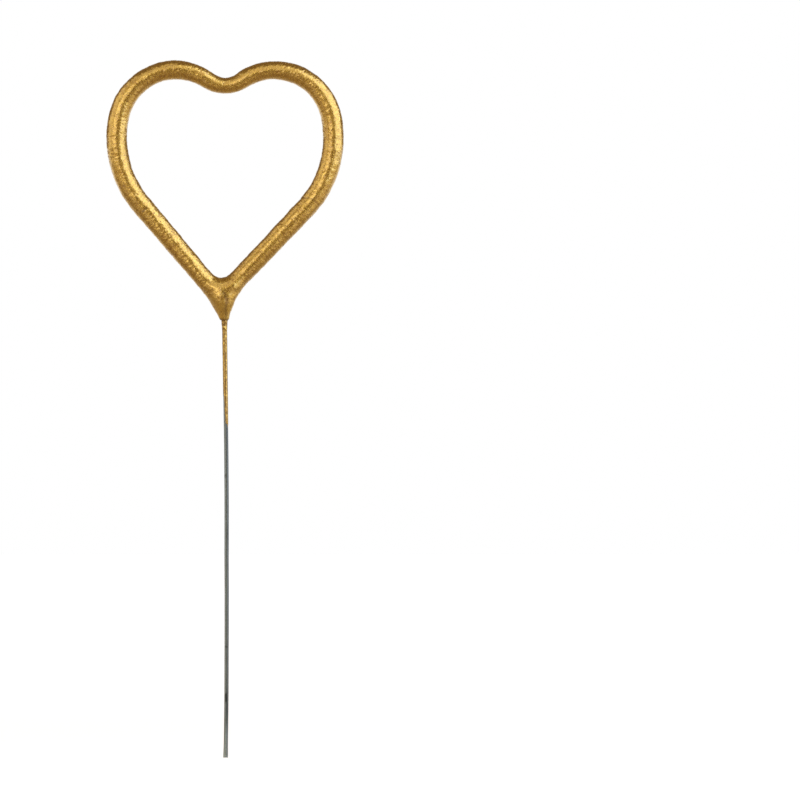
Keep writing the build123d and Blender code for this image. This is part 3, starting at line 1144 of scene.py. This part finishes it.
class SPARKLER_OT_stage(Operator):
    """Set up the camera, the soft boxes, the white room and the floor"""

    bl_idname = "sparkler.stage"
    bl_label = "Stage"

    def execute(self, context):
        stage = context.scene.sparkler.stage
        context.scene.view_settings.view_transform = "Standard"
        self.camera(context, stage)
        for box in SOFT_BOXES:
            self.soft_box(context, box, stage)
        self.white_room(context, stage)
        self.floor(stage)
        return {"FINISHED"}

    def camera(self, context, stage):
        """Camera straight in front of the heart, at the distance that gives the picture its width."""
        data = bpy.data.cameras.new("camera")
        data.lens = stage.lens
        data.clip_start = 10 * MM
        distance = stage.frame_width * stage.lens / data.sensor_width
        camera = bpy.data.objects.new("camera", data)
        camera.location = (stage.centre_x, -distance, stage.centre_z)
        camera.rotation_euler = (pi / 2, 0, 0)
        context.scene.collection.objects.link(camera)
        context.scene.camera = camera

    def soft_box(self, context, box, stage):
        """Soft box that looks at the heart from its direction."""
        data = bpy.data.lights.new(box.name, "AREA")
        data.shape = "RECTANGLE"
        data.size = box.width
        data.size_y = box.height
        data.energy = box.power * stage.lamp_level
        data.color = box.tint
        lamp = bpy.data.objects.new(box.name, data)
        lamp.location = Vector((0, 0, stage.lamp_target)) + box.direction() * box.distance
        lamp.rotation_euler = box.direction().to_track_quat("Z", "Y").to_euler()
        lamp.visible_camera = False
        context.scene.collection.objects.link(lamp)

    def white_room(self, context, stage):
        """Room that is white to the eye and behind the heart, and dim where only the studio is."""
        world = bpy.data.worlds.new("studio")
        context.scene.world = world
        sheet = NodeSheet(world, "Background")
        view = sheet.node("ShaderNodeTexCoord").outputs["Generated"]
        seen = sheet.seen_white(view, ROOM_BACK)
        sheet.feed("Strength", sheet.math("MAXIMUM", seen, stage.room))
        sheet.feed("Color", sheet.ramp(seen, (0, stage.room_tint), (1, WHITE)))

    def floor(self, stage):
        """Pale floor under the cut end, white to the eye, with the shadow left on it."""
        mesh = bmesh.new()
        bmesh.ops.create_grid(mesh, x_segments=1, y_segments=1, size=FLOOR_REACH)
        floor = new_piece("floor", mesh)
        sheet = NodeSheet(bpy.data.materials.new("pale_floor"))
        place = sheet.node("ShaderNodeTexCoord").outputs["Object"]
        away = sheet.node("ShaderNodeVectorMath", operation="LENGTH")
        sheet.link(place, away.inputs["Vector"])
        glow = sheet.spread(away.outputs["Value"], FLOOR_LIT, (stage.floor_glow, 1))
        seen = sheet.seen_white(place, FLOOR_BACK)
        sheet.feed("Emission Strength", sheet.math("MULTIPLY", seen, glow))
        tints = {"Base Color": stage.floor_colour, "Emission Color": stage.floor_tint}
        sheet.set({name: (*tint, 1) for name, tint in tints.items()})
        sheet.set({"Roughness": 0.9})
        floor.data.materials.append(sheet.owner)


class SPARKLER_PT_build(Panel):
    """Buttons and sizes of the sparkler"""

    bl_label = "Heart Sparkler"
    bl_idname = "SPARKLER_PT_build"
    bl_space_type = "VIEW_3D"
    bl_region_type = "UI"
    bl_category = "Sparkler"

    def draw(self, context):
        settings = context.scene.sparkler
        for operator in OPERATORS:
            self.layout.operator(operator.bl_idname)
        for name, pointer in SparklerSettings.__annotations__.items():
            box = self.layout.box()
            box.label(text=pointer.keywords["name"])
            group = getattr(settings, name)
            for prop in group.__annotations__:
                box.prop(group, prop)


SIZE_GROUPS = (
    WireSizes,
    HeartSizes,
    CoatSizes,
    GrainSizes,
    WashSizes,
    FinishColours,
    StageSettings,
    SparklerSettings,
)
OPERATORS = (
    SPARKLER_OT_drawn_wire,
    SPARKLER_OT_gilded_heart,
    SPARKLER_OT_gold_wash,
    SPARKLER_OT_composition,
    SPARKLER_OT_stage,
)


def register():
    """Make the sizes, the operators and the panel known."""
    for cls in (*SIZE_GROUPS, *OPERATORS, SPARKLER_PT_build):
        bpy.utils.register_class(cls)
    bpy.types.Scene.sparkler = PointerProperty(
        type=SparklerSettings, name="Sparkler", description="Sizes, colours and stage of the sparkler"
    )


def unregister():
    """Take the sizes, the operators and the panel away again."""
    del bpy.types.Scene.sparkler
    for cls in reversed((*SIZE_GROUPS, *OPERATORS, SPARKLER_PT_build)):
        bpy.utils.unregister_class(cls)


def main():
    """Build the sparkler and its stage."""
    register()
    bpy.ops.sparkler.drawn_wire()
    bpy.ops.sparkler.gilded_heart()
    bpy.ops.sparkler.gold_wash()
    bpy.ops.sparkler.composition()
    bpy.ops.sparkler.stage()


if __name__ == "__main__":
    main()
